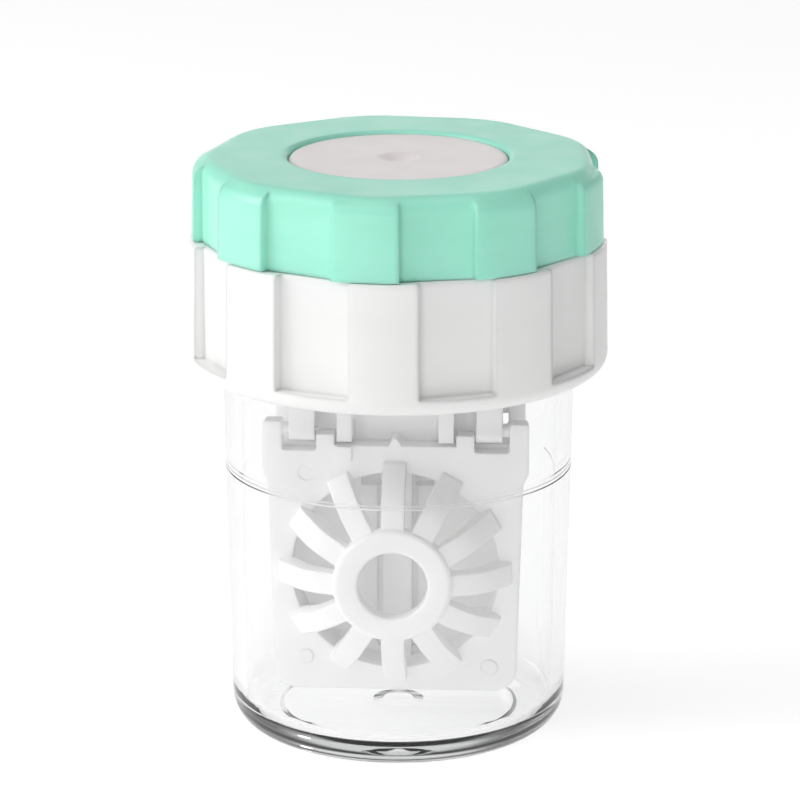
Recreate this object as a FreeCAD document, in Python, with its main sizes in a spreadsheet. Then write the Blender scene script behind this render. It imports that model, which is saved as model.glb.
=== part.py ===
import FreeCAD, Part
import math
import os
import re

import Sketcher

# A hand-cranked contact lens washer: a clear cup, a fluted screw ring, and a fluted
# knob that turns a lens basket with two hinged, domed doors. Lengths are in
# millimetres, +Z is up and the row origin is the centre of the cup's foot.

SIZES = {
    # cup
    "cup_level": 0.0,
    "cup_height": 38.15,
    "cup_low_radius": 13.51,
    "cup_high_radius": 14.12,
    "cup_shoulder_level": 30.3,
    "cup_neck_level": 30.5,
    "cup_neck_radius": 13.9,
    "cup_corner_radius": 2.6,
    "cup_foot_recess_radius": 9.4,
    "cup_foot_recess_depth": 0.5,
    "cup_foot_bevel": 0.3,
    "cup_floor_level": 2.05,
    "cup_bore_low_radius": 12.37,
    "cup_bore_high_radius": 12.8,
    "cup_inner_corner_radius": 1.2,
    "cup_rim_round": 0.3,
    "cup_dimple_radius": 2.05,
    "cup_dimple_depth": 0.45,
    "fill_line_level": 21.85,
    "fill_line_width": 0.12,
    "fill_line_depth": 0.05,
    # screw thread shared by the cup and the ring
    "thread_lead": 9.0,
    "thread_turns": 0.42,
    "thread_width": 1.2,
    "thread_flank": 0.3,
    "thread_root": 0.2,
    "thread_cup_crest_radius": 14.55,
    "thread_cup_level": 31.9,
    "thread_ring_crest_radius": 14.03,
    "thread_phase": 19.4,
    # screw ring
    "ring_level": 30.0,
    "ring_height": 10.5,
    "ring_low_radius": 16.78,
    "ring_high_radius": 16.6,
    "ring_flat_reach": 15.63,
    "ring_ledge": 1.4,
    "ring_low_round": 1.2,
    "ring_top_round": 0.3,
    "ring_bore_radius": 14.68,
    "ring_deck_under": 9.2,
    "ring_collar_radius": 14.0,
    "ring_collar_wall": 1.1,
    "ring_collar_top": 13.1,
    "ring_sleeve_radius": 5.8,
    "ring_sleeve_bore": 3.5,
    "ring_sleeve_top": 11.7,
    "ring_sleeve_bottom": 6.9,
    "ring_plug_radius": 12.2,
    "ring_plug_wall": 0.9,
    "ring_plug_bottom": 7.0,
    "small_round": 0.25,
    # flutes of the ring and of the knob
    "rib_angle": 18.7,
    "rib_root": 1.6,
    "flat_corner_radius": 8.0,
    # gasket between cup rim and ring deck
    "gasket_level": 38.2,
    "gasket_height": 0.95,
    "gasket_inner_radius": 12.3,
    "gasket_outer_radius": 14.4,
    # knob
    "knob_level": 40.56,
    "knob_height": 6.44,
    "knob_turn": 14.2,
    "knob_low_radius": 16.45,
    "knob_high_radius": 16.3,
    "knob_flat_reach": 15.45,
    "knob_rib_drop": 0.25,
    "knob_rib_round": 1.3,
    "knob_top_round": 1.1,
    "knob_wall_radius": 14.2,
    "knob_top_under": 4.84,
    "knob_hole_radius": 8.8,
    "knob_seat_level": 4.59,
    "knob_seat_under": 3.14,
    "knob_well_radius": 10.2,
    "knob_hub_radius": 6.8,
    "knob_hub_bottom": 1.34,
    "knob_socket_width": 8.0,
    "knob_web_length": 4.6,
    "knob_web_width": 1.2,
    "knob_web_under": 2.96,
    # spindle
    "spindle_level": 45.2,
    "spindle_head_radius": 8.72,
    "spindle_head_height": 1.6,
    "spindle_head_round": 0.35,
    "spindle_dimple_radius": 1.7,
    "spindle_dimple_depth": 0.32,
    "spindle_dimple_round": 0.8,
    "spindle_drive_width": 7.9,
    "spindle_drive_length": 3.25,
    "spindle_shaft_radius": 3.4,
    "spindle_shaft_length": 9.2,
    "spindle_groove_radius": 2.45,
    "spindle_groove_width": 1.2,
    "spindle_tenon_width": 6.6,
    "spindle_tenon_depth": 3.0,
    "spindle_tenon_length": 5.0,
    "spindle_barb_reach": 0.5,
    "spindle_barb_height": 0.8,
    "spindle_barb_depth": 2.0,
    # O-ring on the spindle
    "o_ring_level": 39.2,
    "o_ring_radius": 2.96,
    "o_ring_section_radius": 0.49,
    # lens basket, measured from the centre of the lens opening
    "basket_level": 14.0,
    "basket_bottom": 10.1,
    "basket_low_half": 9.5,
    "basket_high_half": 9.95,
    "basket_corner_radius": 1.75,
    "carrier_web_half": 0.75,
    "carrier_rim_half": 2.75,
    "carrier_rim_wall": 1.2,
    "carrier_rim_top": 10.2,
    "carrier_bowl_radius": 8.35,
    "carrier_bowl_wall": 0.9,
    "carrier_rib_half": 1.17,
    "carrier_rib_rise": 0.5,
    "carrier_groove_width": 0.45,
    "carrier_groove_depth": 0.3,
    "carrier_groove_reach": 7.6,
    "window_radius": 7.4,
    "window_angle": 17.0,
    "window_width": 1.5,
    "window_height": 2.0,
    "carrier_neck_half": 8.4,
    "carrier_neck_depth_half": 2.0,
    "carrier_bar_bottom": 13.7,
    "carrier_bar_top": 15.5,
    "carrier_bar_depth_half": 4.4,
    "carrier_block_half": 5.6,
    "carrier_block_depth_half": 3.2,
    "carrier_block_top": 21.9,
    "carrier_socket_gap": 0.05,
    "carrier_latch_window_height": 1.05,
    # hinges between carrier and doors
    "hinge_level": 11.55,
    "hinge_depth": 3.55,
    "hinge_pin_radius": 0.5,
    "hinge_pin_gap": 0.06,
    "hinge_pin_inner": 6.5,
    "hinge_lug_radius": 0.95,
    "hinge_lug_inner": 6.35,
    "hinge_lug_width": 2.0,
    "hinge_slot_width": 0.84,
    "tab_inner": 3.4,
    "tab_width": 1.2,
    "tab_bottom": 10.7,
    # doors
    "front_door_turn": 0.0,
    "rear_door_turn": 180.0,
    "door_back_depth": 3.0,
    "door_thickness": 1.4,
    "door_waist_level": 7.3,
    "door_shoulder_level": 8.2,
    "door_shoulder_half": 10.35,
    "door_shoulder_top": 12.3,
    "door_notch_bottom": 9.9,
    "door_notch_outer": 8.9,
    "door_post_inner": 4.8,
    "door_post_outer": 6.2,
    "door_post_top": 11.3,
    "door_middle_top": 10.4,
    "door_nub_half": 0.5,
    "door_nub_tip_half": 0.15,
    "door_opening_radius": 8.2,
    "door_rib_bottom": 9.2,
    "door_rib_rise": 0.45,
    "spoke_width": 1.8,
    "spoke_end_radius": 9.1,
    "spoke_end_depth": 4.95,
    "spoke_end_inner_radius": 8.4,
    "spoke_end_inner_depth": 3.5,
    "spoke_bend_radius": 6.9,
    "spoke_bend_depth": 7.5,
    "spoke_bend_inner_radius": 6.3,
    "spoke_bend_inner_depth": 6.25,
    "spoke_outer_curve": 4.5,
    "spoke_inner_curve": 2.8,
    "spoke_hub_radius": 4.2,
    "spoke_front_depth": 8.4,
    "spoke_back_depth": 7.2,
    "spoke_edge_round": 0.3,
    "hub_outer_radius": 4.65,
    "hub_hole_radius": 2.75,
    "hub_front_depth": 8.6,
    "hub_back_depth": 7.05,
    "hub_round": 0.4,
    "mark_offset": 7.1,
    "mark_level": 7.4,
    "mark_radius": 0.6,
    "mark_rise": 0.14,
    "mark_pitch": 1.7,
    "pip_offset": 7.45,
    "pip_level": 8.1,
    "pip_radius": 0.65,
    "ejector_offset": 7.0,
    "ejector_level": 8.1,
    "ejector_radius": 0.65,
    "ejector_depth": 0.05,
}

FLUTES = 9
THREAD_STARTS = 3
SPOKES = 12
KNOB_WEBS = 6
HEX_SIDES = 6

doc = FreeCAD.newDocument("lens_washer_case")
dims = doc.addObject("Spreadsheet::Sheet", "dims")
for row, (alias, size) in enumerate(SIZES.items(), start=1):
    dims.set(f"A{row}", alias)
    dims.set(f"B{row}", str(size))
    dims.setAlias(f"B{row}", alias)
doc.recompute()


def bound(text):
    """The text with each size name pointing at its cell in the sheet."""
    return re.sub(
        r"[a-z]\w*",
        lambda word: f"dims.{word[0]}" if word[0] in SIZES else word[0],
        str(text),
    )


def value(text):
    """What a text of size names comes to."""
    return float(dims.evalExpression(bound(text)))


def place(node, level, turn=None):
    """Raise a node to its level in the row frame, and turn it about +Z."""
    node.setExpression("Placement.Base.z", bound(level))
    if turn is not None:
        node.Placement.Rotation = FreeCAD.Rotation(FreeCAD.Vector(0, 0, 1), value(turn))
        node.setExpression("Placement.Rotation.Angle", bound(turn))


def new_body(label, level, turn=None):
    body = doc.addObject("PartDesign::Body", label)
    body.Label = label
    place(body, level, turn)
    return body


def origin_feature(body, role):
    return next(item for item in body.Origin.OriginFeatures if item.Role == role)


def new_sketch(body, name, plane, offset):
    sketch = body.newObject("Sketcher::SketchObject", name)
    sketch.AttachmentSupport = [(origin_feature(body, plane), "")]
    sketch.MapMode = "FlatFace"
    sketch.setExpression("AttachmentOffset.Base.z", bound(offset))
    return sketch


def drive(sketch, index, text):
    """Let a size drive one constraint of a sketch."""
    sketch.setExpression(f"Constraints[{index}]", bound(text))


def outline(body, name, plane, corners, offset="0"):
    """A closed profile on one of the body's own planes. Each corner is (across, up) or
    (across, up, rounding), in the names of sizes."""
    sketch = new_sketch(body, name, plane, offset)
    points = [FreeCAD.Vector(value(c[0]), value(c[1]), 0) for c in corners]
    rounds = [value(c[2]) if len(c) > 2 else 0.0 for c in corners]
    count = len(corners)
    for i, point in enumerate(points):
        after = points[(i + 1) % count]
        sketch.addGeometry(Part.LineSegment(point, after), True)
    for i, corner in enumerate(corners):
        sketch.addConstraint(Sketcher.Constraint("Coincident", i, 2, (i + 1) % count, 1))
        across = Sketcher.Constraint("DistanceX", -1, 1, i, 1, points[i].x)
        drive(sketch, sketch.addConstraint(across), corner[0])
        up = Sketcher.Constraint("DistanceY", -1, 1, i, 1, points[i].y)
        drive(sketch, sketch.addConstraint(up), corner[1])

    trims = []
    for i, point in enumerate(points):
        back = (points[i - 1] - point).normalize()
        ahead = (points[(i + 1) % count] - point).normalize()
        trims.append(rounds[i] / math.tan(back.getAngle(ahead) / 2) if rounds[i] else 0.0)
    for i, point in enumerate(points):
        j = (i + 1) % count
        along = (points[j] - point).normalize()
        first = point + along * trims[i]
        last = points[j] - along * trims[j]
        side = sketch.addGeometry(Part.LineSegment(first, last))
        for end, corner in ((1, i), (2, j)):
            kind = "PointOnObject" if rounds[corner] else "Coincident"
            where = (i,) if rounds[corner] else (i, end)
            sketch.addConstraint(Sketcher.Constraint(kind, side, end, *where))

    for i, point in enumerate(points):
        if not rounds[i]:
            continue
        back = (points[i - 1] - point).normalize()
        ahead = (points[(i + 1) % count] - point).normalize()
        first = point + back * trims[i]
        last = point + ahead * trims[i]
        bisector = (back + ahead).normalize()
        centre = point + bisector * (rounds[i] / math.sin(back.getAngle(ahead) / 2))
        left_turn = back.cross(ahead).z < 0
        ends = (first, last) if left_turn else (last, first)
        angles = [math.atan2(e.y - centre.y, e.x - centre.x) for e in ends]
        circle = Part.Circle(centre, FreeCAD.Vector(0, 0, 1), rounds[i])
        arc = sketch.addGeometry(Part.ArcOfCircle(circle, angles[0], angles[1]))
        before_end, after_end = (1, 2) if left_turn else (2, 1)
        before_side = count + (i - 1) % count
        after_side = count + i
        joint = Sketcher.Constraint("Tangent", before_side, 2, arc, before_end)
        sketch.addConstraint(joint)
        joint = Sketcher.Constraint("Tangent", after_side, 1, arc, after_end)
        sketch.addConstraint(joint)
        radius = Sketcher.Constraint("Radius", arc, rounds[i])
        drive(sketch, sketch.addConstraint(radius), corners[i][2])
    return sketch


def box_corners(left, right, bottom, top):
    return [(left, bottom), (right, bottom), (right, top), (left, top)]


def circles(body, name, plane, centre, radii, offset="0"):
    """One or more circles about one centre on one of the body's own planes."""
    sketch = new_sketch(body, name, plane, offset)
    middle = FreeCAD.Vector(value(centre[0]), value(centre[1]), 0)
    for radius in radii:
        circle = Part.Circle(middle, FreeCAD.Vector(0, 0, 1), value(radius))
        item = sketch.addGeometry(circle)
        across = Sketcher.Constraint("DistanceX", -1, 1, item, 3, middle.x)
        drive(sketch, sketch.addConstraint(across), centre[0])
        up = Sketcher.Constraint("DistanceY", -1, 1, item, 3, middle.y)
        drive(sketch, sketch.addConstraint(up), centre[1])
        size = Sketcher.Constraint("Radius", item, value(radius))
        drive(sketch, sketch.addConstraint(size), radius)
    return sketch


def turned(body, kind, profile, angle="360", middle=False):
    """A profile turned about its own upright axis, added or cut away."""
    feature = body.newObject(f"PartDesign::{kind}", profile.Name + "_turned")
    feature.Profile = profile
    feature.ReferenceAxis = (profile, ["V_Axis"])
    feature.setExpression("Angle", bound(angle))
    feature.Midplane = middle
    return feature


def pushed(body, kind, profile, length, middle=False, back=False):
    """A profile pushed straight out of its plane, added or cut away."""
    feature = body.newObject(f"PartDesign::{kind}", profile.Name + "_pushed")
    feature.Profile = profile
    feature.setExpression("Length", bound(length))
    feature.SideType = "Symmetric" if middle else "One side"
    feature.Reversed = back
    return feature


def repeated(body, feature, role, count):
    """A feature repeated evenly about one of the body's own axes."""
    pattern = body.newObject("PartDesign::PolarPattern", feature.Name + "_pattern")
    pattern.Originals = [feature]
    pattern.Axis = (origin_feature(body, role), [""])
    pattern.Angle = 360
    pattern.Occurrences = count
    body.Tip = pattern
    return pattern


def mirrored(body, features, role):
    """Features copied to the other side of one of the body's own planes."""
    mirror = body.newObject("PartDesign::Mirrored", features[-1].Name + "_mirror")
    mirror.Originals = features
    mirror.MirrorPlane = (origin_feature(body, role), [""])
    body.Tip = mirror
    return mirror


def thread(body, name, root, crest, level):
    """The starts of the coarse screw thread on a wall."""
    profile = outline(body, name, "XZ_Plane", [
        (root, level),
        (crest, f"{level} + thread_flank"),
        (crest, f"{level} + thread_width - thread_flank"),
        (root, f"{level} + thread_width"),
    ])
    helix = body.newObject("PartDesign::AdditiveHelix", name + "_helix")
    helix.Profile = profile
    helix.ReferenceAxis = (profile, ["V_Axis"])
    helix.Mode = "pitch-turns-angle"
    helix.setExpression("Pitch", bound("thread_lead"))
    helix.setExpression("Turns", bound("thread_turns"))
    repeated(body, helix, "Z_Axis", THREAD_STARTS)


def polygon(body, name, sides, reach, offset, turn="0", rounding="0"):
    """A regular polygon with a corner on +Y, sized by the distance to its flats."""
    corners = []
    for i in range(sides):
        angle = math.pi / 2 + 2 * math.pi * i / sides
        stretch = 1 / math.cos(math.pi / sides)
        across = round(stretch * math.cos(angle), 8)
        up = round(stretch * math.sin(angle), 8)
        corners.append((f"{across} * {reach}", f"{up} * {reach}", rounding))
    sketch = outline(body, name, "XY_Plane", corners, offset)
    sketch.setExpression("AttachmentOffset.Rotation.Angle", bound(turn))
    return sketch


def rounded(body, name, radius, chosen):
    """Round the chosen edges of what the body is so far."""
    doc.recompute()
    base = body.Tip
    names = [f"Edge{i}" for i, edge in enumerate(base.Shape.Edges, start=1) if chosen(edge)]
    fillet = body.newObject("PartDesign::Fillet", name)
    fillet.Base = (base, names)
    fillet.setExpression("Radius", bound(radius))
    return fillet


def at_level(level):
    """A test for edges that lie flat at a level of the body's own frame."""
    height = value(level)
    return lambda edge: all(abs(v.Point.z - height) < 0.001 for v in edge.Vertexes)


def make_cup():
    body = new_body("cup", "cup_level", "thread_phase")
    wall = outline(body, "cup_wall", "XZ_Plane", [
        ("0", "cup_foot_recess_depth"),
        ("cup_foot_recess_radius", "cup_foot_recess_depth"),
        ("cup_foot_recess_radius + cup_foot_bevel", "0"),
        ("cup_low_radius", "0", "cup_corner_radius"),
        ("cup_high_radius", "cup_shoulder_level"),
        ("cup_neck_radius", "cup_neck_level"),
        ("cup_neck_radius", "cup_height", "cup_rim_round"),
        ("cup_bore_high_radius", "cup_height", "cup_rim_round"),
        ("cup_bore_low_radius", "cup_floor_level", "cup_inner_corner_radius"),
        ("0", "cup_floor_level"),
    ])
    turned(body, "Revolution", wall)
    line_radius = (
        "(cup_low_radius + (cup_high_radius - cup_low_radius)"
        " * fill_line_level / cup_shoulder_level)"
    )
    line = outline(body, "cup_fill_line", "YZ_Plane", [
        (f"-{line_radius} - fill_line_depth", "fill_line_level - fill_line_width"),
        (f"-{line_radius} - fill_line_depth", "fill_line_level + fill_line_width"),
        (f"fill_line_depth - {line_radius}", "fill_line_level"),
    ])
    turned(body, "Groove", line, "180", middle=True)
    dimple = outline(body, "cup_dimple", "XZ_Plane", [
        ("0", "cup_foot_recess_depth - small_round"),
        ("cup_dimple_radius", "cup_foot_recess_depth - small_round"),
        ("cup_dimple_radius", "cup_foot_recess_depth"),
        ("0.6 * cup_dimple_radius", "cup_foot_recess_depth + cup_dimple_depth",
         "cup_dimple_depth"),
        ("0", "cup_foot_recess_depth + cup_dimple_depth"),
    ])
    turned(body, "Groove", dimple)
    thread(body, "cup_thread", "cup_neck_radius - thread_root",
           "thread_cup_crest_radius", "thread_cup_level")
    return body


def make_lid_ring():
    body = new_body("lid_ring", "ring_level", "thread_phase")
    ledge_radius = (
        "ring_low_radius - (ring_low_radius - ring_high_radius) * ring_ledge / ring_height"
    )
    core = polygon(body, "ring_core", FLUTES, "ring_flat_reach", "ring_ledge / 2",
                   rounding="flat_corner_radius")
    pushed(body, "Pad", core, "ring_height - ring_ledge / 2")
    rounded(body, "ring_core_top", "ring_top_round", at_level("ring_height"))
    band = outline(body, "ring_band", "XZ_Plane", [
        ("0", "0"),
        ("ring_low_radius", "0", "ring_low_round"),
        (ledge_radius, "ring_ledge"),
        ("0", "ring_ledge"),
    ])
    turned(body, "Revolution", band)
    rib = outline(body, "ring_rib", "YZ_Plane", [
        ("ring_flat_reach - rib_root", "ring_ledge - small_round"),
        (f"{ledge_radius} - small_round", "ring_ledge - small_round"),
        (ledge_radius, "ring_ledge"),
        ("ring_high_radius", "ring_height", "ring_top_round"),
        ("ring_flat_reach - rib_root", "ring_height"),
    ])
    ribs = turned(body, "Revolution", rib, "rib_angle", middle=True)
    repeated(body, ribs, "Z_Axis", FLUTES)
    collar = outline(body, "ring_collar", "XZ_Plane", [
        ("ring_collar_radius - ring_collar_wall", "ring_height - small_round"),
        ("ring_collar_radius", "ring_height - small_round"),
        ("ring_collar_radius", "ring_collar_top", "small_round"),
        ("ring_collar_radius - ring_collar_wall", "ring_collar_top", "small_round"),
    ])
    turned(body, "Revolution", collar)
    hollow = outline(body, "ring_hollow", "XZ_Plane", [
        ("0", "-small_round"),
        ("ring_bore_radius + small_round", "-small_round"),
        ("ring_bore_radius", "small_round"),
        ("ring_bore_radius", "ring_deck_under"),
        ("ring_plug_radius", "ring_deck_under"),
        ("ring_plug_radius", "ring_plug_bottom", "small_round"),
        ("ring_plug_radius - ring_plug_wall", "ring_plug_bottom", "small_round"),
        ("ring_plug_radius - ring_plug_wall", "ring_deck_under"),
        ("0", "ring_deck_under"),
    ])
    turned(body, "Groove", hollow)
    sleeve = outline(body, "ring_sleeve", "XZ_Plane", [
        ("0", "ring_sleeve_bottom"),
        ("ring_sleeve_radius", "ring_sleeve_bottom", "small_round"),
        ("ring_sleeve_radius", "ring_sleeve_top", "small_round"),
        ("0", "ring_sleeve_top"),
    ])
    turned(body, "Revolution", sleeve)
    bore = circles(body, "ring_sleeve_bore", "XY_Plane", ("0", "0"), ["ring_sleeve_bore"],
                   "ring_sleeve_bottom")
    pushed(body, "Pocket", bore, "ring_sleeve_top - ring_sleeve_bottom", back=True)
    thread(body, "ring_thread", "ring_bore_radius + thread_root",
           "thread_ring_crest_radius",
           "thread_cup_level - ring_level - thread_lead / 6")
    return body


def make_lid_gasket():
    body = new_body("lid_gasket", "gasket_level")
    section = outline(body, "gasket_section", "XZ_Plane", [
        ("gasket_inner_radius", "0", "small_round"),
        ("gasket_outer_radius", "0", "small_round"),
        ("gasket_outer_radius", "gasket_height", "small_round"),
        ("gasket_inner_radius", "gasket_height", "small_round"),
    ])
    turned(body, "Revolution", section)
    return body


def make_knob():
    body = new_body("knob", "knob_level", "knob_turn")
    core = polygon(body, "knob_core", FLUTES, "knob_flat_reach", "0",
                   rounding="flat_corner_radius")
    pushed(body, "Pad", core, "knob_height")
    rounded(body, "knob_core_top", "knob_top_round", at_level("knob_height"))
    rib = outline(body, "knob_rib", "YZ_Plane", [
        ("knob_flat_reach - rib_root", "0"),
        ("knob_low_radius", "0", "small_round / 2"),
        ("knob_high_radius", "knob_height - knob_rib_drop", "knob_rib_round"),
        ("knob_flat_reach - rib_root", "knob_height - knob_rib_drop"),
    ])
    ribs = turned(body, "Revolution", rib, "rib_angle", middle=True)
    repeated(body, ribs, "Z_Axis", FLUTES)
    hollow = outline(body, "knob_hollow", "XZ_Plane", [
        ("0", "-small_round"),
        ("knob_wall_radius", "-small_round"),
        ("knob_wall_radius", "knob_top_under", "small_round"),
        ("knob_well_radius", "knob_top_under"),
        ("knob_well_radius", "knob_seat_under"),
        ("knob_hub_radius", "knob_seat_under"),
        ("knob_hub_radius", "knob_hub_bottom", "small_round"),
        ("0", "knob_hub_bottom"),
    ])
    turned(body, "Groove", hollow)
    well = outline(body, "knob_well", "XZ_Plane", [
        ("0", "knob_seat_level"),
        ("knob_hole_radius", "knob_seat_level"),
        ("knob_hole_radius", "knob_height - small_round"),
        ("knob_hole_radius + small_round", "knob_height"),
        ("knob_hole_radius + small_round", "knob_height + small_round"),
        ("0", "knob_height + small_round"),
    ])
    turned(body, "Groove", well)
    web = outline(body, "knob_web", "XY_Plane", box_corners(
        "knob_well_radius - knob_web_width",
        "knob_well_radius - knob_web_width + knob_web_length",
        "-knob_web_width / 2", "knob_web_width / 2",
    ), "knob_web_under")
    webs = pushed(body, "Pad", web, "knob_top_under - knob_web_under")
    repeated(body, webs, "Z_Axis", KNOB_WEBS)
    socket = polygon(body, "knob_socket", HEX_SIDES, "knob_socket_width / 2",
                     "knob_hub_bottom", "-knob_turn")
    pushed(body, "Pocket", socket, "knob_seat_level - knob_hub_bottom", back=True)
    return body


def make_spindle():
    body = new_body("spindle", "spindle_level")
    groove_middle = "(o_ring_level - spindle_level)"
    turning = outline(body, "spindle_turning", "XZ_Plane", [
        ("0", "-spindle_shaft_length"),
        ("spindle_shaft_radius", "-spindle_shaft_length", "small_round"),
        ("spindle_shaft_radius", f"{groove_middle} - spindle_groove_width / 2"),
        ("spindle_groove_radius", f"{groove_middle} - spindle_groove_width / 2"),
        ("spindle_groove_radius", f"{groove_middle} + spindle_groove_width / 2"),
        ("spindle_shaft_radius", f"{groove_middle} + spindle_groove_width / 2"),
        ("spindle_shaft_radius", "0"),
        ("spindle_head_radius", "0", "small_round"),
        ("spindle_head_radius", "spindle_head_height", "spindle_head_round"),
        ("spindle_dimple_radius", "spindle_head_height", "spindle_dimple_round"),
        ("spindle_dimple_radius / 3", "spindle_head_height - spindle_dimple_depth",
         "small_round"),
        ("0", "spindle_head_height - spindle_dimple_depth"),
    ])
    turned(body, "Revolution", turning)
    drive_shape = polygon(body, "spindle_drive", HEX_SIDES, "spindle_drive_width / 2",
                          "-spindle_drive_length")
    pushed(body, "Pad", drive_shape, "spindle_drive_length")
    tenon = outline(body, "spindle_tenon", "XY_Plane", box_corners(
        "-spindle_tenon_width / 2", "spindle_tenon_width / 2",
        "-spindle_tenon_depth / 2", "spindle_tenon_depth / 2",
    ), "-spindle_shaft_length - spindle_tenon_length")
    pushed(body, "Pad", tenon, "spindle_tenon_length")
    tip = "-spindle_shaft_length - spindle_tenon_length"
    barb = outline(body, "spindle_barb", "XZ_Plane", [
        ("spindle_tenon_width / 2 - spindle_barb_reach", tip),
        ("spindle_tenon_width / 2", tip),
        ("spindle_tenon_width / 2 + spindle_barb_reach", f"{tip} + spindle_barb_height"),
        ("spindle_tenon_width / 2 - spindle_barb_reach", f"{tip} + spindle_barb_height"),
    ])
    barbs = pushed(body, "Pad", barb, "spindle_barb_depth", middle=True)
    mirrored(body, [barbs], "YZ_Plane")
    return body


def make_shaft_o_ring():
    ring = doc.addObject("Part::Torus", "shaft_o_ring")
    ring.Label = "shaft_o_ring"
    ring.setExpression("Radius1", bound("o_ring_radius"))
    ring.setExpression("Radius2", bound("o_ring_section_radius"))
    place(ring, "o_ring_level")
    return ring


def basket_corners(bottom, top, inset):
    """The tapered, round-cornered outline of the basket, drawn in by an inset."""
    top_half = (
        f"basket_low_half + (basket_high_half - basket_low_half)"
        f" * (basket_bottom + {top}) / (basket_bottom + door_waist_level) - {inset}"
    )
    low_half = f"basket_low_half - {inset}"
    corner = f"basket_corner_radius - 0.5 * {inset}"
    return [
        (f"-({low_half})", bottom, corner),
        (low_half, bottom, corner),
        (top_half, top),
        (f"-({top_half})", top),
    ]


def make_hinge_lug(body, name, side, face):
    """A snap hook that holds a door's pin, hung from the carrier's cross bar."""
    reach = f"{face} * hinge_depth"
    first = "hinge_lug_inner" if side > 0 else "-hinge_lug_inner - hinge_lug_width"
    stem = outline(body, name + "_stem", "YZ_Plane", box_corners(
        f"{reach} - hinge_lug_radius", f"{reach} + hinge_lug_radius",
        "hinge_level", "carrier_bar_bottom + small_round",
    ), first)
    pushed(body, "Pad", stem, "hinge_lug_width")
    eye = circles(body, name + "_eye", "YZ_Plane", (reach, "hinge_level"),
                  ["hinge_lug_radius"], first)
    pushed(body, "Pad", eye, "hinge_lug_width")
    bore = circles(body, name + "_bore", "YZ_Plane", (reach, "hinge_level"),
                   ["hinge_pin_radius + hinge_pin_gap"], first)
    pushed(body, "Pocket", bore, "hinge_lug_width", back=True)
    slot_end = f"{reach} - {face} * 2 * hinge_lug_radius"
    edges = (slot_end, reach) if face > 0 else (reach, slot_end)
    slot = outline(body, name + "_slot", "YZ_Plane", box_corners(
        *edges,
        "hinge_level - hinge_slot_width / 2", "hinge_level + hinge_slot_width / 2",
    ), first)
    pushed(body, "Pocket", slot, "hinge_lug_width", back=True)


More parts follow.
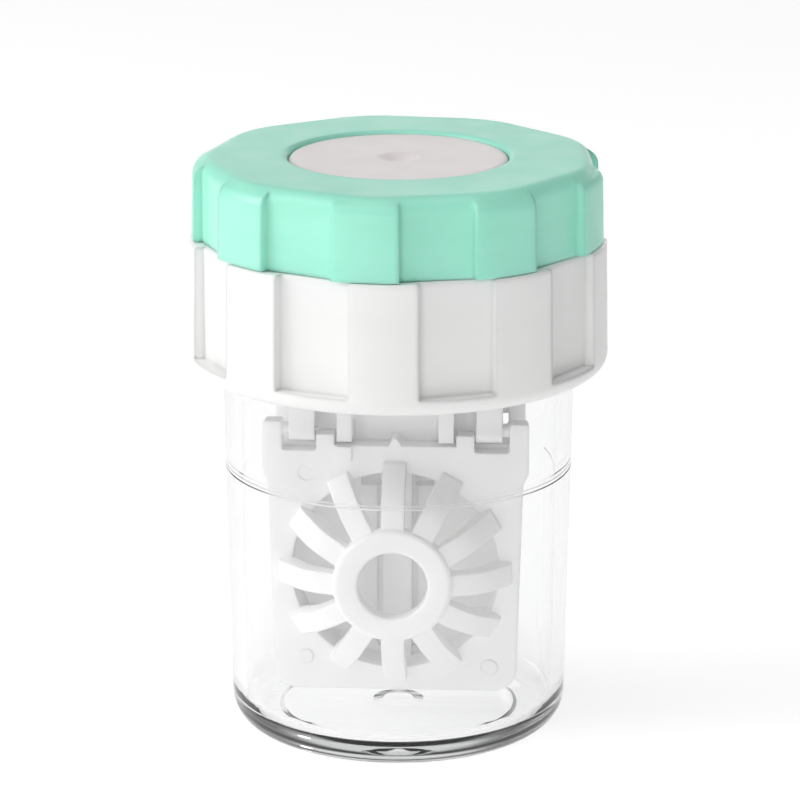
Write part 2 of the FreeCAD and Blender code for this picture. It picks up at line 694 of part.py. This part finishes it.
def make_carrier():
    body = new_body("carrier", "basket_level")
    web = outline(body, "carrier_web", "XZ_Plane",
                  basket_corners("-basket_bottom", "carrier_rim_top", "small_round"))
    pushed(body, "Pad", web, "2 * carrier_web_half", middle=True)
    rim = outline(body, "carrier_rim", "XZ_Plane",
                  basket_corners("-basket_bottom", "carrier_rim_top", "small_round"))
    pushed(body, "Pad", rim, "2 * carrier_rim_half", middle=True)
    for face in (-1, 1):
        name = "front" if face < 0 else "rear"
        plane_offset = f"{-face} * carrier_web_half"
        cell = outline(
            body, f"carrier_{name}_cell", "XZ_Plane",
            basket_corners("-basket_bottom + carrier_rim_wall",
                           "carrier_rim_top - carrier_rim_wall", "carrier_rim_wall"),
            plane_offset,
        )
        pushed(body, "Pocket", cell, "carrier_rim_half", back=face < 0)
        bowl = circles(
            body, f"carrier_{name}_bowl", "XZ_Plane", ("0", "0"),
            ["carrier_bowl_radius", "carrier_bowl_radius + carrier_bowl_wall"],
            plane_offset,
        )
        pushed(body, "Pad", bowl, "carrier_rim_half - carrier_web_half", back=face > 0)
        rib = outline(body, f"carrier_{name}_rib", "XZ_Plane", box_corners(
            "-carrier_rib_half", "carrier_rib_half",
            "-carrier_bowl_radius - small_round", "carrier_bowl_radius + small_round",
        ), plane_offset)
        pushed(body, "Pad", rib, "carrier_rib_rise", back=face > 0)
        for side in (-1, 1):
            left = f"{side} * (carrier_rib_half + carrier_groove_width / 2)"
            groove = outline(
                body, f"carrier_{name}_groove_{'left' if side < 0 else 'right'}",
                "XZ_Plane",
                box_corners(f"{left} - carrier_groove_width / 2",
                            f"{left} + carrier_groove_width / 2",
                            "-carrier_groove_reach", "carrier_groove_reach"),
                plane_offset,
            )
            pushed(body, "Pocket", groove, "carrier_groove_depth", back=face > 0)

    swing = math.radians(SIZES["window_angle"])
    for side in (-1, 1):
        across = f"{round(side * math.sin(swing), 8)} * window_radius"
        up = f"{round(math.cos(swing), 8)} * window_radius"
        window = outline(
            body, f"carrier_window_{'left' if side < 0 else 'right'}", "XZ_Plane",
            box_corners(f"{across} - window_width / 2", f"{across} + window_width / 2",
                        f"{up} - window_height / 2", f"{up} + window_height / 2"),
        )
        pushed(body, "Pocket", window, "4 * carrier_web_half", middle=True)

    neck = outline(body, "carrier_neck", "XZ_Plane", box_corners(
        "-carrier_neck_half", "carrier_neck_half",
        "carrier_rim_top - small_round", "carrier_bar_top",
    ))
    pushed(body, "Pad", neck, "2 * carrier_neck_depth_half", middle=True)
    bar = outline(body, "carrier_bar", "XZ_Plane", [
        ("-carrier_neck_half", "carrier_bar_bottom"),
        ("carrier_neck_half", "carrier_bar_bottom"),
        ("carrier_neck_half", "carrier_bar_top", "carrier_rim_wall"),
        ("-carrier_neck_half", "carrier_bar_top", "carrier_rim_wall"),
    ])
    pushed(body, "Pad", bar, "2 * carrier_bar_depth_half", middle=True)
    block = outline(body, "carrier_block", "XZ_Plane", box_corners(
        "-carrier_block_half", "carrier_block_half",
        "carrier_bar_top - small_round", "carrier_block_top",
    ))
    pushed(body, "Pad", block, "2 * carrier_block_depth_half", middle=True)

    tabs = outline(body, "carrier_tab", "XZ_Plane", box_corners(
        "tab_inner", "tab_inner + tab_width",
        "tab_bottom", "carrier_bar_bottom + small_round",
    ))
    tab_pad = pushed(body, "Pad", tabs, "2 * carrier_bar_depth_half", middle=True)
    mirrored(body, [tab_pad], "YZ_Plane")
    for side in (-1, 1):
        for face in (-1, 1):
            name = f"lug_{'left' if side < 0 else 'right'}_{'front' if face < 0 else 'rear'}"
            make_hinge_lug(body, name, side, face)

    tenon_tip = "spindle_level - spindle_shaft_length - spindle_tenon_length - basket_level"
    socket = outline(body, "carrier_socket", "XY_Plane", box_corners(
        "-spindle_tenon_width / 2 - carrier_socket_gap",
        "spindle_tenon_width / 2 + carrier_socket_gap",
        "-spindle_tenon_depth / 2 - carrier_socket_gap",
        "spindle_tenon_depth / 2 + carrier_socket_gap",
    ), f"{tenon_tip} - small_round")
    pushed(body, "Pocket", socket, "spindle_tenon_length + 1", back=True)
    latch = outline(body, "carrier_latch", "XZ_Plane", box_corners(
        "-carrier_block_half - 1", "carrier_block_half + 1",
        f"{tenon_tip} - small_round",
        f"{tenon_tip} - small_round + carrier_latch_window_height + small_round",
    ))
    pushed(body, "Pocket", latch, "spindle_barb_depth + 2 * carrier_socket_gap", middle=True)
    return body


def door_corners():
    """The door plate, from its bottom right corner round to its bottom left corner."""
    right = [
        ("basket_low_half", "-basket_bottom", "basket_corner_radius"),
        ("basket_high_half", "door_waist_level"),
        ("door_shoulder_half", "door_shoulder_level"),
        ("door_shoulder_half", "door_shoulder_top", "small_round"),
        ("door_notch_outer", "door_shoulder_top", "small_round"),
        ("door_notch_outer", "door_notch_bottom", "small_round"),
        ("door_post_outer", "door_notch_bottom", "small_round"),
        ("door_post_outer", "door_post_top"),
        ("door_post_inner", "door_post_top"),
        ("door_post_inner", "door_middle_top"),
        ("door_nub_half", "door_middle_top"),
        ("door_nub_tip_half", "door_post_top - small_round"),
    ]
    left = [(f"-{across}", *rest) for across, *rest in reversed(right)]
    return right + left


def make_door(label, turn, marks):
    """A hinged basket door: a plate with a spoked dome over its round opening."""
    body = new_body(label, "basket_level", turn)
    plate = outline(body, label + "_plate", "XZ_Plane", door_corners(), "door_back_depth")
    pushed(body, "Pad", plate, "door_thickness")
    opening = circles(body, label + "_opening", "XZ_Plane", ("0", "0"),
                      ["door_opening_radius"], "door_back_depth")
    pushed(body, "Pocket", opening, "door_thickness", back=True)

    spoke = outline(body, label + "_spoke", "YZ_Plane", [
        ("-spoke_end_inner_depth", "spoke_end_inner_radius"),
        ("-spoke_bend_inner_depth", "spoke_bend_inner_radius", "spoke_inner_curve"),
        ("-spoke_back_depth", "spoke_hub_radius"),
        ("-spoke_front_depth", "spoke_hub_radius"),
        ("-spoke_bend_depth", "spoke_bend_radius", "spoke_outer_curve"),
        ("-spoke_end_depth", "spoke_end_radius", "spoke_edge_round"),
        ("-spoke_end_inner_depth", "spoke_end_radius"),
    ])
    spokes = pushed(body, "Pad", spoke, "spoke_width", middle=True)
    repeated(body, spokes, "Y_Axis", SPOKES)
    hub = outline(body, label + "_hub", "XY_Plane", [
        ("hub_hole_radius", "-hub_front_depth", "hub_round / 2"),
        ("hub_outer_radius", "-hub_front_depth", "hub_round"),
        ("hub_outer_radius", "-hub_back_depth", "hub_round"),
        ("hub_hole_radius", "-hub_back_depth", "hub_round / 2"),
    ])
    turned(body, "Revolution", hub)

    pin = circles(body, label + "_pin", "YZ_Plane", ("-hinge_depth", "hinge_level"),
                  ["hinge_pin_radius"], "hinge_pin_inner")
    pins = pushed(body, "Pad", pin,
                  "door_shoulder_half - hinge_pin_inner - 2 * small_round")
    mirrored(body, [pins], "YZ_Plane")

    front = "door_back_depth + door_thickness"
    rib = outline(body, label + "_rib", "XZ_Plane", box_corners(
        "-tab_inner - tab_width", "-tab_inner", "door_rib_bottom", "door_middle_top",
    ), f"{front} - small_round")
    pushed(body, "Pad", rib, "door_rib_rise + small_round")
    for i in range(marks):
        mark = circles(
            body, f"{label}_mark_{i + 1}", "XZ_Plane",
            (f"-mark_offset + {i} * mark_pitch", f"-mark_level - {i} * small_round"),
            ["mark_radius"], f"{front} - small_round",
        )
        pushed(body, "Pad", mark, "mark_rise + small_round")
    pip = circles(body, label + "_pip", "XZ_Plane", ("pip_offset", "-pip_level"),
                  ["pip_radius"], f"{front} - small_round")
    pushed(body, "Pad", pip, "mark_rise + small_round")
    ejector = circles(body, label + "_ejector", "XZ_Plane",
                      ("-ejector_offset", "ejector_level"), ["ejector_radius"],
                      f"{front} - ejector_depth")
    pushed(body, "Pocket", ejector, "2 * ejector_depth", back=True)
    return body


nodes = [
    make_cup(),
    make_lid_ring(),
    make_lid_gasket(),
    make_knob(),
    make_spindle(),
    make_shaft_o_ring(),
    make_carrier(),
    make_door("door_front", "front_door_turn", 1),
    make_door("door_rear", "rear_door_turn", 2),
]
doc.recompute()

for item in doc.Objects:
    if "Invalid" in item.State or "Error" in item.State:
        raise RuntimeError(f"{item.Label} did not rebuild: {item.State}")
for node in nodes:
    if node.Shape.isNull() or not node.Shape.isValid():
        raise RuntimeError(f"{node.Label} has no valid shape")
    if len(node.Shape.Solids) != 1:
        raise RuntimeError(f"{node.Label} is {len(node.Shape.Solids)} solids")

os.makedirs("parts", exist_ok=True)
for node in nodes:
    node.Shape.exportStep(f"parts/{node.Label}.step")
    print(node.Label, round(node.Shape.Volume, 2), node.Shape.BoundBox)
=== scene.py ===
import math

import bpy
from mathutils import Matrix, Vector

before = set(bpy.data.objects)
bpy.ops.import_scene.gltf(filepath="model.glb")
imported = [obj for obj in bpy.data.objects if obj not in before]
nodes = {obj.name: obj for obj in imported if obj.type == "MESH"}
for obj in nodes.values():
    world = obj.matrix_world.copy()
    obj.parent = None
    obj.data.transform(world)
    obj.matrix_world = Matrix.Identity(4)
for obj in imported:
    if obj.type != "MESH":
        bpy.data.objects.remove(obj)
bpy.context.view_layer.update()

SENSOR_WIDTH = 36.0
FOCAL_LENGTH = 183.0
CAMERA_DISTANCE = 0.3147
CAMERA_HEIGHT = 0.1166
CAMERA_AZIMUTH = math.radians(3.3)
CAMERA_YAW = math.radians(-0.024)
CAMERA_PITCH = math.radians(15.93)
FLOOR_REACH = 3.0
FLOOR_GLOW = 0.59
FILL_LINE_LEVEL = 0.02185
FILL_LINE_HALF = 0.00006
CUP_HEART = (0.0, 0.0, 0.013)
SNOOT_CONE = math.radians(4.6)
SNOOT_BLEND = 0.6
SNOOT_RADIUS = 0.07
scene = bpy.context.scene


# ---------------------------------------------------------------- camera
def make_camera():
    """The photo's own view: a long lens, a little above the lid and to its right."""
    data = bpy.data.cameras.new("camera")
    data.sensor_width = SENSOR_WIDTH
    data.lens = FOCAL_LENGTH
    data.clip_start, data.clip_end = 0.01, 10.0
    camera = bpy.data.objects.new("camera", data)
    scene.collection.objects.link(camera)
    camera.location = (
        CAMERA_DISTANCE * math.sin(CAMERA_AZIMUTH),
        -CAMERA_DISTANCE * math.cos(CAMERA_AZIMUTH),
        CAMERA_HEIGHT,
    )
    heading = CAMERA_AZIMUTH + CAMERA_YAW
    aim = Vector((
        -math.sin(heading) * math.cos(CAMERA_PITCH),
        math.cos(heading) * math.cos(CAMERA_PITCH),
        -math.sin(CAMERA_PITCH),
    ))
    camera.rotation_mode = "QUATERNION"
    camera.rotation_quaternion = aim.to_track_quat("-Z", "Y")
    scene.camera = camera


# ---------------------------------------------------------------- node helpers
class Graph:
    """A short way to wire the nodes of one material or of the world."""

    def __init__(self, name, world=False):
        self.data = (bpy.data.worlds if world else bpy.data.materials).new(name)
        self.data.use_nodes = True
        self.tree = self.data.node_tree
        self.tree.nodes.clear()
        kind = "ShaderNodeOutputWorld" if world else "ShaderNodeOutputMaterial"
        self.output = self.add(kind)
        coordinates = self.add("ShaderNodeTexCoord")
        self.place = coordinates.outputs["Generated" if world else "Object"]

    def add(self, kind, **settings):
        """A new node of this kind, with its settings."""
        node = self.tree.nodes.new(kind)
        for key, value in settings.items():
            setattr(node, key, value)
        return node

    def link(self, source, target):
        self.tree.links.new(source, target)

    def split(self):
        """The place's x, y and z."""
        node = self.add("ShaderNodeSeparateXYZ")
        self.link(self.place, node.inputs[0])
        return node.outputs

    def noise(self, scale, detail=3.0, roughness=0.5, stretch=None):
        """Noise over the place, which stretch can squeeze along each axis."""
        node = self.add("ShaderNodeTexNoise")
        node.inputs["Scale"].default_value = scale
        node.inputs["Detail"].default_value = detail
        node.inputs["Roughness"].default_value = roughness
        source = self.place
        if stretch:
            mapping = self.add("ShaderNodeMapping")
            mapping.inputs["Scale"].default_value = stretch
            self.link(self.place, mapping.inputs["Vector"])
            source = mapping.outputs["Vector"]
        self.link(source, node.inputs["Vector"])
        return node.outputs["Fac"]

    def span(self, value, low, high, start=0.3, end=0.7):
        """Map start..end of a value onto low..high."""
        node = self.add("ShaderNodeMapRange")
        node.inputs["From Min"].default_value = start
        node.inputs["From Max"].default_value = end
        node.inputs["To Min"].default_value = low
        node.inputs["To Max"].default_value = high
        self.link(value, node.inputs["Value"])
        return node.outputs["Result"]

    def math(self, operation, a, b=0.0):
        """One sum of two numbers or outputs."""
        node = self.add("ShaderNodeMath", operation=operation)
        for socket, value in zip(node.inputs, (a, b)):
            if isinstance(value, (int, float)):
                socket.default_value = value
            else:
                self.link(value, socket)
        return node.outputs["Value"]

    def blend(self, factor, a, b):
        """A colour between a and b."""
        node = self.add("ShaderNodeMix", data_type="RGBA")
        sockets = (node.inputs[0], node.inputs[6], node.inputs[7])
        for socket, value in zip(sockets, (factor, a, b)):
            if isinstance(value, (int, float)):
                socket.default_value = value
            elif isinstance(value, tuple):
                socket.default_value = (*value, 1.0)
            else:
                self.link(value, socket)
        return node.outputs[2]

    def bump(self, height, strength, distance, normal=None):
        """A normal that follows a height, on top of another normal if there is one."""
        node = self.add("ShaderNodeBump")
        node.inputs["Strength"].default_value = strength
        node.inputs["Distance"].default_value = distance
        self.link(height, node.inputs["Height"])
        if normal is not None:
            self.link(normal, node.inputs["Normal"])
        return node.outputs["Normal"]

    def let_in(self, surface, rays, share):
        """Let this share of some kinds of ray straight through a surface."""
        path = self.add("ShaderNodeLightPath")
        through = self.add("ShaderNodeBsdfTransparent")
        through.inputs["Color"].default_value = (share, share, share, 1.0)
        for ray in rays:
            node = self.add("ShaderNodeMixShader")
            self.link(path.outputs[ray], node.inputs[0])
            self.link(surface, node.inputs[1])
            self.link(through.outputs["BSDF"], node.inputs[2])
            surface = node.outputs["Shader"]
        return surface

    def soft_edges(self, radius):
        """A normal that turns gently over edges."""
        node = self.add("ShaderNodeBevel", samples=8)
        node.inputs["Radius"].default_value = radius
        return node.outputs["Normal"]


def moulded(name, colour, deep, roughness, edge=0.0006, inner=0.12, thin=0.0):
    """Satin moulded plastic: cloudy tone, faint flow streaks and a fine skin.

    edge is the radius of its soft edges, inner the share of light that scatters inside
    it, and thin the share of lamplight that goes through it.
    """
    g = Graph(name)
    shader = g.add("ShaderNodeBsdfPrincipled")
    cloud = g.noise(140.0, 3.0)
    streak = g.noise(60.0, 4.0, 0.6, (1.0, 1.0, 6.0))
    tone = g.math("MULTIPLY", g.math("ADD", cloud, streak), 0.5)
    shade = g.blend(g.span(tone, 0.0, 1.0, 0.36, 0.64), deep, colour)
    g.link(shade, shader.inputs["Base Color"])
    rough = g.span(g.noise(420.0, 4.0), roughness - 0.05, roughness + 0.07)
    g.link(rough, shader.inputs["Roughness"])
    grain = g.noise(5200.0, 2.0)
    ripple = g.math("MULTIPLY", g.noise(900.0, 3.0), 1.6)
    skin = g.math("ADD", grain, ripple)
    g.link(g.bump(skin, 0.28, 0.000012, g.soft_edges(edge)), shader.inputs["Normal"])
    shader.inputs["IOR"].default_value = 1.5
    shader.inputs["Specular IOR Level"].default_value = 0.45
    shader.inputs["Subsurface Weight"].default_value = inner
    shader.inputs["Subsurface Radius"].default_value = colour
    shader.inputs["Subsurface Scale"].default_value = 0.002
    surface = shader.outputs["BSDF"]
    if thin:
        surface = g.let_in(surface, ("Is Shadow Ray",), thin)
    g.link(surface, g.output.inputs["Surface"])
    return g.data


def clear_plastic():
    """Polished clear plastic, faintly grey in depth, which lets lamplight in."""
    g = Graph("clear_plastic")
    shader = g.add("ShaderNodeBsdfPrincipled")
    smear = g.span(g.noise(90.0, 5.0, 0.6, (1.0, 1.0, 2.5)), 0.0, 1.0, 0.42, 0.66)
    shade = g.blend(smear, (1.0, 1.0, 1.0), (0.985, 0.987, 0.987))
    g.link(shade, shader.inputs["Base Color"])
    _, y, z = g.split()
    off_line = g.math("ABSOLUTE", g.math("SUBTRACT", z, FILL_LINE_LEVEL))
    near_side = g.span(y, 1.0, 0.0, -0.001, 0.001)
    line = g.span(off_line, 0.4, 0.0, FILL_LINE_HALF, 1.5 * FILL_LINE_HALF)
    frost = g.math("MULTIPLY", near_side, line)
    g.link(g.math("ADD", frost, g.math("MULTIPLY", smear, 0.025)), shader.inputs["Roughness"])
    scuff = g.span(g.noise(700.0, 2.0, 0.5, (1.0, 1.0, 0.08)), 0.0, 1.0, 0.66, 0.72)
    g.link(g.bump(scuff, 0.1, 0.0000004), shader.inputs["Normal"])
    shader.inputs["IOR"].default_value = 1.49
    shader.inputs["Transmission Weight"].default_value = 1.0
    surface = g.let_in(shader.outputs["BSDF"], ("Is Diffuse Ray", "Is Shadow Ray"), 0.975)
    g.link(surface, g.output.inputs["Surface"])
    depth = g.add("ShaderNodeVolumeAbsorption")
    depth.inputs["Color"].default_value = (0.53, 0.54, 0.54, 1.0)
    depth.inputs["Density"].default_value = 50.0
    g.link(depth.outputs["Volume"], g.output.inputs["Volume"])
    return g.data


def silicone():
    """Soft, dull rubber for the seals."""
    g = Graph("seal_silicone")
    shader = g.add("ShaderNodeBsdfPrincipled")
    cloud = g.span(g.noise(300.0, 3.0), 0.0, 1.0, 0.35, 0.65)
    shade = g.blend(cloud, (0.60, 0.60, 0.57), (0.72, 0.72, 0.69))
    g.link(shade, shader.inputs["Base Color"])
    g.link(g.span(g.noise(900.0, 3.0), 0.5, 0.65), shader.inputs["Roughness"])
    g.link(g.bump(g.noise(2600.0, 3.0), 0.3, 0.00002), shader.inputs["Normal"])
    shader.inputs["Subsurface Weight"].default_value = 0.2
    shader.inputs["Subsurface Scale"].default_value = 0.0008
    g.link(shader.outputs["BSDF"], g.output.inputs["Surface"])
    return g.data


def dress(node, material):
    """Give a CAD node its one material."""
    slots = nodes[node].data.materials
    slots.clear()
    slots.append(material)


# ---------------------------------------------------------------- stage
def make_stage():
    """A plain pale floor, which glows a little so that it shows as white."""
    mesh = bpy.data.meshes.new("floor")
    corners = [
        (-FLOOR_REACH, -FLOOR_REACH, 0),
        (FLOOR_REACH, -FLOOR_REACH, 0),
        (FLOOR_REACH, FLOOR_REACH, 0),
        (-FLOOR_REACH, FLOOR_REACH, 0),
    ]
    mesh.from_pydata(corners, [], [(0, 1, 2, 3)])
    floor = bpy.data.objects.new("floor", mesh)
    scene.collection.objects.link(floor)
    g = Graph("floor_paper")
    shader = g.add("ShaderNodeBsdfPrincipled")
    shader.inputs["Base Color"].default_value = (0.62, 0.62, 0.62, 1.0)
    shader.inputs["Roughness"].default_value = 0.9
    shader.inputs["Specular IOR Level"].default_value = 0.1
    shader.inputs["Emission Color"].default_value = (1.0, 1.0, 1.0, 1.0)
    shader.inputs["Emission Strength"].default_value = FLOOR_GLOW
    g.link(shader.outputs["BSDF"], g.output.inputs["Surface"])
    mesh.materials.append(g.data)


def make_world():
    """White light, brightest on the backdrop, with dark flags low on either side.

    The camera itself sees nothing darker than white.
    """
    g = Graph("studio", world=True)
    x, y, z = g.split()
    aside = g.span(g.math("ABSOLUTE", x), 0.0, 1.0, 0.35, 0.6)
    flags = g.math("MULTIPLY", aside, g.span(z, 1.0, 0.0, 0.3, 0.55))
    backdrop = g.span(y, 0.4, 1.15, 0.85, 0.95)
    light = g.math("MULTIPLY", backdrop, g.span(flags, 1.0, 0.35, 0.0, 1.0))
    seen = g.add("ShaderNodeLightPath").outputs["Is Camera Ray"]
    background = g.add("ShaderNodeBackground")
    background.inputs["Color"].default_value = (1.0, 1.0, 1.0, 1.0)
    g.link(g.math("MAXIMUM", light, seen), background.inputs["Strength"])
    g.link(background.outputs["Background"], g.output.inputs["Surface"])
    scene.world = g.data


def hang(data, location, aim):
    """Put a lamp in the scene, turned towards its aim."""
    light = bpy.data.objects.new(data.name, data)
    scene.collection.objects.link(light)
    light.location = location
    light.rotation_mode = "QUATERNION"
    towards = Vector(aim) - Vector(location)
    light.rotation_quaternion = towards.to_track_quat("-Z", "Y")


def area_light(name, location, aim, size, power):
    data = bpy.data.lights.new(name, "AREA")
    data.shape = "RECTANGLE"
    data.size, data.size_y = size
    data.energy = power
    hang(data, location, aim)


def snoot(name, location, power):
    """A soft, narrow lamp that reaches into the cup below the ring."""
    data = bpy.data.lights.new(name, "SPOT")
    data.energy = power
    data.spot_size = SNOOT_CONE
    data.spot_blend = SNOOT_BLEND
    data.shadow_soft_size = SNOOT_RADIUS
    hang(data, location, CUP_HEART)


make_camera()
make_stage()
make_world()
area_light("key", (-0.55, -0.12, 0.29), (0.0, 0.0, 0.02), (0.35, 0.35), 2.05)
area_light("top", (-0.04, -0.18, 0.58), (0.0, 0.0, 0.03), (0.45, 0.45), 0.75)
area_light("fill", (-0.10, -0.75, 0.16), (0.0, 0.0, 0.02), (0.6, 0.3), 0.72)
snoot("cup_light", (-0.20, -0.60, 0.09), 10.0)
snoot("back_light", (0.22, 0.58, 0.09), 5.0)

white = moulded("white_plastic", (0.82, 0.82, 0.815), (0.795, 0.795, 0.787), 0.34)
basket = moulded(
    "basket_plastic", (0.975, 0.975, 0.972), (0.96, 0.96, 0.956), 0.4,
    edge=0.0002, inner=0.4, thin=0.6,
)
mint = moulded("mint_plastic", (0.36, 0.82, 0.655), (0.32, 0.76, 0.6), 0.34, inner=0.3)
pale = moulded("pale_plastic", (0.82, 0.775, 0.765), (0.79, 0.745, 0.735), 0.36)
clear = clear_plastic()
seal = silicone()
dress("cup", clear)
dress("lid_ring", white)
dress("knob", mint)
dress("spindle", pale)
dress("lid_gasket", seal)
dress("shaft_o_ring", seal)
for name in ("carrier", "door_front", "door_rear"):
    dress(name, basket)

scene.view_settings.view_transform = "Standard"
scene.view_settings.look = "None"
